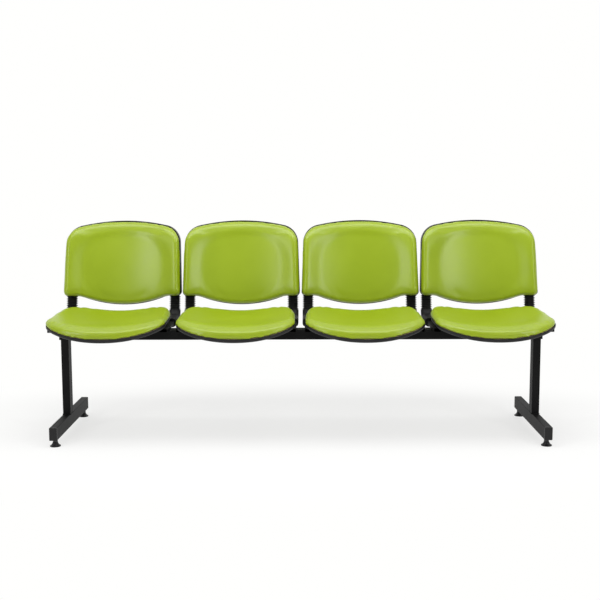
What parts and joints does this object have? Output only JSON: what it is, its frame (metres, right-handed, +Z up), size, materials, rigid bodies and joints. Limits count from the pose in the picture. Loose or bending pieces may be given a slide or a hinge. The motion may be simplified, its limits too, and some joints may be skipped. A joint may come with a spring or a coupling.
{
  "type": "beam seating bench",
  "caption": "Beam seating: padded vinyl seats and backs in black shells on bent arms with ribbed bellows, bolted to a steel beam on T-shaped legs with levelling glides.",
  "frame": {"origin": "on the floor, under the middle of the whole bench", "axes": "+X along the beam, towards the right seen from the front; +Y towards the backs, so the sitters face -Y; +Z up"},
  "size_m": [1.9928, 0.6266, 0.8344],
  "materials": {
    "vinyl": "lime green upholstery vinyl, satin, fine grain",
    "shell_plastic": "black moulded plastic, fine texture",
    "bellows_plastic": "black soft moulded plastic, matt",
    "coated_steel": "black epoxy powder coat, satin",
    "cap_plastic": "black moulded plastic",
    "glide_plastic": "black moulded plastic",
    "black_steel": "black oxide steel",
    "zinc_steel": "zinc plated",
    "plywood": "beech plywood, raw",
    "carrier_plastic": "moulded plastic, raw"
  },
  "bodies": {
    "bench": {"arm_left_1": "coated_steel", "arm_left_2": "coated_steel", "arm_left_3": "coated_steel", "arm_left_4": "coated_steel", "arm_right_1": "coated_steel", "arm_right_2": "coated_steel", "arm_right_3": "coated_steel", "arm_right_4": "coated_steel", "back_carriers": "carrier_plastic", "back_cushion_1": "vinyl", "back_cushion_2": "vinyl", "back_cushion_3": "vinyl", "back_cushion_4": "vinyl", "back_screws": "black_steel", "back_shell_1": "shell_plastic", "back_shell_2": "shell_plastic", "back_shell_3": "shell_plastic", "back_shell_4": "shell_plastic", "beam": "coated_steel", "beam_caps": "cap_plastic", "beam_inserts": "zinc_steel", "bellows_left_1": "bellows_plastic", "bellows_left_2": "bellows_plastic", "bellows_left_3": "bellows_plastic", "bellows_left_4": "bellows_plastic", "bellows_right_1": "bellows_plastic", "bellows_right_2": "bellows_plastic", "bellows_right_3": "bellows_plastic", "bellows_right_4": "bellows_plastic", "bracket_screws": "black_steel", "foot_bar_left": "coated_steel", "foot_bar_right": "coated_steel", "foot_caps": "cap_plastic", "glide_inserts": "zinc_steel", "leg_bolts": "black_steel", "leg_post_left": "coated_steel", "leg_post_right": "coated_steel", "seat_boards": "plywood", "seat_cushion_1": "vinyl", "seat_cushion_2": "vinyl", "seat_cushion_3": "vinyl", "seat_cushion_4": "vinyl", "seat_nuts": "zinc_steel", "seat_screws": "black_steel", "seat_shell_1": "shell_plastic", "seat_shell_2": "shell_plastic", "seat_shell_3": "shell_plastic", "seat_shell_4": "shell_plastic"},
    "pad_front_left": {"glide_pad_front_left": "glide_plastic"},
    "stud_front_left": {"glide_stud_front_left": "black_steel"},
    "pad_front_right": {"glide_pad_front_right": "glide_plastic"},
    "stud_front_right": {"glide_stud_front_right": "black_steel"},
    "pad_rear_left": {"glide_pad_rear_left": "glide_plastic"},
    "stud_rear_left": {"glide_stud_rear_left": "black_steel"},
    "pad_rear_right": {"glide_pad_rear_right": "glide_plastic"},
    "stud_rear_right": {"glide_stud_rear_right": "black_steel"}
  },
  "joints": [
    {"name": "glide_drop_front_left", "type": "slide", "parent": "bench", "child": "pad_front_left", "axis": [0, 0, -1], "range_m": [0, 0.02]},
    {"name": "glide_turn_front_left", "type": "hinge", "parent": "pad_front_left", "child": "stud_front_left", "pos_m": [-0.9355, -0.2833, 0], "axis": [0, 0, -1], "range_deg": [0, 4800]},
    {"name": "glide_drop_front_right", "type": "slide", "parent": "bench", "child": "pad_front_right", "axis": [0, 0, -1], "range_m": [0, 0.02]},
    {"name": "glide_turn_front_right", "type": "hinge", "parent": "pad_front_right", "child": "stud_front_right", "pos_m": [0.9355, -0.2833, 0], "axis": [0, 0, -1], "range_deg": [0, 4800]},
    {"name": "glide_drop_rear_left", "type": "slide", "parent": "bench", "child": "pad_rear_left", "axis": [0, 0, -1], "range_m": [0, 0.02]},
    {"name": "glide_turn_rear_left", "type": "hinge", "parent": "pad_rear_left", "child": "stud_rear_left", "pos_m": [-0.9355, 0.1997, 0], "axis": [0, 0, -1], "range_deg": [0, 4800]},
    {"name": "glide_drop_rear_right", "type": "slide", "parent": "bench", "child": "pad_rear_right", "axis": [0, 0, -1], "range_m": [0, 0.02]},
    {"name": "glide_turn_rear_right", "type": "hinge", "parent": "pad_rear_right", "child": "stud_rear_right", "pos_m": [0.9355, 0.1997, 0], "axis": [0, 0, -1], "range_deg": [0, 4800]}
  ],
  "couplings": [
    {"joint": "glide_turn_front_left", "follows": "glide_drop_front_left", "rad_per_m": 4188.8},
    {"joint": "glide_turn_front_right", "follows": "glide_drop_front_right", "rad_per_m": 4188.8},
    {"joint": "glide_turn_rear_left", "follows": "glide_drop_rear_left", "rad_per_m": 4188.8},
    {"joint": "glide_turn_rear_right", "follows": "glide_drop_rear_right", "rad_per_m": 4188.8}
  ]
}
